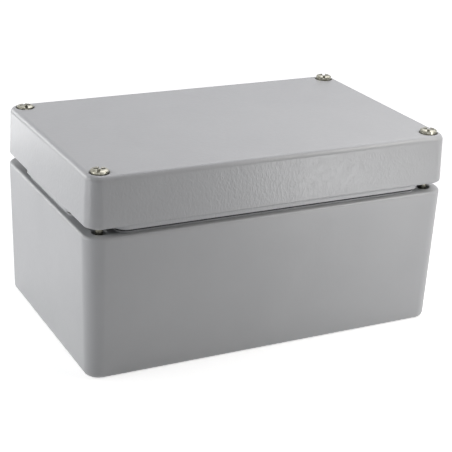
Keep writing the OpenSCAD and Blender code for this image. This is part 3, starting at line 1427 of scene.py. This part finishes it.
    def rolled_thread(self, n: NodeTree, shank: Socket, high: Socket) -> Socket:
        """Presses a helical groove into the shank, and tapers its two ends.

        Args:
            n: The tree.
            shank: A cylinder with many rows of points.
            high: Height of the thread's upper end.

        Returns:
            The mesh's socket.
        """
        i = n.inputs
        x, y, z, out = n.position()
        turn = n.math("DIVIDE", n.math("ARCTAN2", y, x), 2 * math.pi)
        phase = n.less(n.math("DIVIDE", z, i["Pitch"]), turn)
        ridge = n.math("ABSOLUTE", n.less(n.times(n.math("FRACT", phase), 2.0), 1.0))
        flank = n.math("MINIMUM", n.times(ridge, self.thread_flank), 1.0)
        groove = n.times(n.less(1.0, flank), i["Thread Depth"])
        from_low = n.math("ADD", n.less(z, high), i["Thread Length"])
        from_end = n.math("MINIMUM", n.less(high, z), from_low)
        near_end = n.math("MINIMUM", n.math("DIVIDE", from_end, self.thread_taper * MM), 1.0)
        depth = n.math("MAXIMUM", groove, n.times(n.less(1.0, near_end), self.thread_taper * MM))
        outside = n.math("GREATER_THAN", n.math("SQRT", out), self.core_r * MM)
        scale = n.less(1.0, n.times(n.math("DIVIDE", depth, i["Thread Radius"]), outside))
        return n.change("SetPosition", shank, "Position", n.vector(n.times(x, scale), n.times(y, scale), z))

    def paint_shade_in_hollows(self, screw: Object, seat: Point3) -> None:
        """Paints shade onto the recess, the slot, the head's side and the neck as near-black steel.

        Args:
            screw: A finished screw.
            seat: Middle of its head's seat in millimetres.
        """
        # Painted shade: faces below the head's top and down the neck get the near-black steel.
        screw.data.materials.append(self.finishes.painted_shade_steel)
        radius = self.head_d / 2
        for polygon in screw.data.polygons:
            x, y, z = (value / MM - middle for value, middle in zip(polygon.center, seat))
            top = self.sizes.head_h - self.crown * ((x * x + y * y) / radius**2) ** self.crown_power
            if -self.sizes.neck_length < z < top - self.bright_depth:
                polygon.material_index = 1

    def build(self) -> list[Object]:
        """Makes the four screws.

        Returns:
            The screws.
        """
        s = self.sizes
        tree = self.tree()
        made = []
        for index, corner in enumerate(Corner):
            x, y = s.screw_points[index]
            head_z = s.top_z + s.head_proud[index] - s.head_h
            screw = new_object("captive_screw_" + corner.label, [], [])
            tree.run(screw, self.measures() | {
                "Slot Turn": math.radians(self.slot_turn[index]),
                "Place": (x * MM, y * MM, head_z * MM),
                "Material": self.finishes.stainless,
            })
            rounding = screw.modifiers.new("edges", "BEVEL")
            rounding.limit_method = "WEIGHT"
            rounding.width = self.edge_r * MM
            rounding.segments = self.edge_steps
            bake_modifiers(screw)
            self.paint_shade_in_hollows(screw, (x, y, head_z))
            smooth(screw, self.sharp_deg)
            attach(screw, "screw_" + corner.label)
            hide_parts("lid_screw_" + corner.label)
            made.append(screw)
        return made


@dataclass
class SmallParts(SubAssembly):
    """The retaining washers and the parts of the two earth terminals, which keep their solids' shapes."""

    def build(self) -> list[Object]:
        """Gives every small part its finish.

        Returns:
            The parts.
        """
        finishes = {"retaining_washer_" + corner.label: self.finishes.nylon for corner in Corner}
        for side in ("base", "lid"):
            for part in ("screw", "lock_washer", "clamp"):
                finishes[f"{side}_earth_{part}"] = self.finishes.zinc
        for node, material in finishes.items():
            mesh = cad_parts[node].data
            mesh.materials.clear()
            mesh.materials.append(material)
        return [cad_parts[node] for node in finishes]


# ---------------------------------------------------------------- studio


@dataclass(frozen=True)
class Lamp:
    """A soft area lamp that looks at a point."""

    name: str
    place: Point3
    target: Point3
    size: Point2
    watts: float
    colour: Colour = (1.0, 1.0, 1.0)

    def build(self) -> None:
        """Makes the lamp."""
        data = bpy.data.lights.new(self.name, "AREA")
        data.shape = "RECTANGLE"
        data.size, data.size_y = self.size
        data.energy = self.watts
        data.color = self.colour
        lamp = bpy.data.objects.new(self.name, data)
        lamp.visible_camera = False
        bpy.context.scene.collection.objects.link(lamp)
        lamp.location = self.place
        lamp.rotation_euler = (Vector(self.target) - Vector(self.place)).to_track_quat("-Z", "Y").to_euler()


@dataclass
class Studio:
    """Camera, pale floor, soft lamps and pale surroundings, in metres, degrees and watts."""

    place: Point3 = (-0.23750, -0.46200, 0.24522)
    yaw_deg: float = 27.476
    pitch_deg: float = 21.999
    roll_deg: float = 2.707
    sensor_mm: float = 36.0
    lens_mm: float = 103.2746
    nearest: float = 0.01
    sky: float = 0.06
    floor_half: float = 3.0
    floor_colour: Colour = (0.8, 0.8, 0.8)
    floor_glow: float = 0.68
    far_glow: float = 1.0
    near_far: Point2 = (0.5, 1.3)
    lamps: tuple[Lamp, ...] = (
        Lamp("top_lamp", (0.45, 0.35, 0.95), (0.0, 0.0, 0.04), (0.9, 0.9), 5.2, (0.97, 0.955, 1.0)),
        Lamp(
            "front_lamp", (0.155, -0.16, 0.22), (0.06, -0.05, 0.07), (0.12, 0.12), 0.222, (1.0, 0.972, 0.93)
        ),
        Lamp("left_lamp", (-0.45, 0.12, 0.25), (-0.05, 0.0, 0.05), (0.3, 0.2), 0.63),
        Lamp("rear_lamp", (-0.45, 0.8, 0.25), (0.0, 0.0, 0.04), (0.4, 0.25), 1.3),
        Lamp("low_left_lamp", (-0.36, -0.03, 0.03), (-0.08, -0.04, 0.06), (0.06, 0.1), 0.14),
        Lamp("low_front_lamp", (0.122, -0.22, 0.02), (0.04, -0.05, 0.07), (0.06, 0.03), 0.067),
        Lamp("low_rear_lamp", (-0.15, 0.24, 0.02), (-0.08, 0.02, 0.07), (0.05, 0.03), 0.016),
    )

    def build(self) -> None:
        """Sets up the studio."""
        self.camera()
        self.floor()
        self.surroundings()
        for lamp in self.lamps:
            lamp.build()
        bpy.context.scene.view_settings.view_transform = "Standard"

    def camera(self) -> None:
        """Places the camera."""
        yaw, pitch, roll = (math.radians(a) for a in (self.yaw_deg, self.pitch_deg, self.roll_deg))
        ahead = Vector((math.sin(yaw) * math.cos(pitch), math.cos(yaw) * math.cos(pitch), -math.sin(pitch)))
        right = Vector((math.cos(yaw), -math.sin(yaw), 0.0))
        up = right.cross(ahead)
        tilted_right = math.cos(roll) * right + math.sin(roll) * up
        tilted_up = -math.sin(roll) * right + math.cos(roll) * up
        data = bpy.data.cameras.new("camera")
        data.sensor_width = self.sensor_mm
        data.lens = self.lens_mm
        data.clip_start = self.nearest
        camera = bpy.data.objects.new("camera", data)
        bpy.context.scene.collection.objects.link(camera)
        turned = Matrix((tilted_right, tilted_up, -ahead)).transposed().to_4x4()
        camera.matrix_world = Matrix.Translation(self.place) @ turned
        bpy.context.scene.camera = camera

    def floor(self) -> None:
        """Makes the floor, which looks white and keeps a soft shadow near the box."""
        tree = ShaderTree("floor")
        lit = tree.add("BsdfDiffuse", Color=(*self.floor_colour, 1.0))
        reach = tree.add("VectorMath", operation="LENGTH")
        tree.link(tree.object_position(), reach.inputs[0])
        paler = tree.map_range(reach.outputs["Value"], self.near_far, (self.floor_glow, self.far_glow))
        glow = tree.add("Emission")
        tree.link(tree.math("MULTIPLY", tree.seen_directly(0.0, 1.0), paler), glow.inputs["Strength"])
        both = tree.add("AddShader")
        tree.link(lit.outputs[0], both.inputs[0])
        tree.link(glow.outputs[0], both.inputs[1])
        corners = [(x, y, 0.0) for x, y in at_corners(self.floor_half, self.floor_half)]
        floor = new_object("floor", corners, [[0, 1, 2, 3]])
        floor.data.materials.append(tree.finish(both))

    def surroundings(self) -> None:
        """Makes the surroundings: white where they are seen, a plain soft light otherwise."""
        tree = ShaderTree("surroundings", world=True)
        light = tree.add("Background", Color=(1.0, 1.0, 1.0, 1.0))
        tree.link(tree.seen_directly(self.sky, 1.0), light.inputs["Strength"])
        bpy.context.scene.world = tree.finish(light)


def main() -> None:
    """Builds and dresses the box and its studio."""
    logging.basicConfig(level=logging.INFO, format="%(name)s %(message)s")
    sizes = BoxSizes()
    finishes = Finishes()
    for maker in (BaseCasting, LidCasting, Seal, LidScrews, SmallParts):
        for piece in maker(sizes, finishes).build():
            LOG.info("%s: %d faces", piece.name, len(piece.data.polygons))
    Studio().build()


if __name__ == "__main__":
    main()
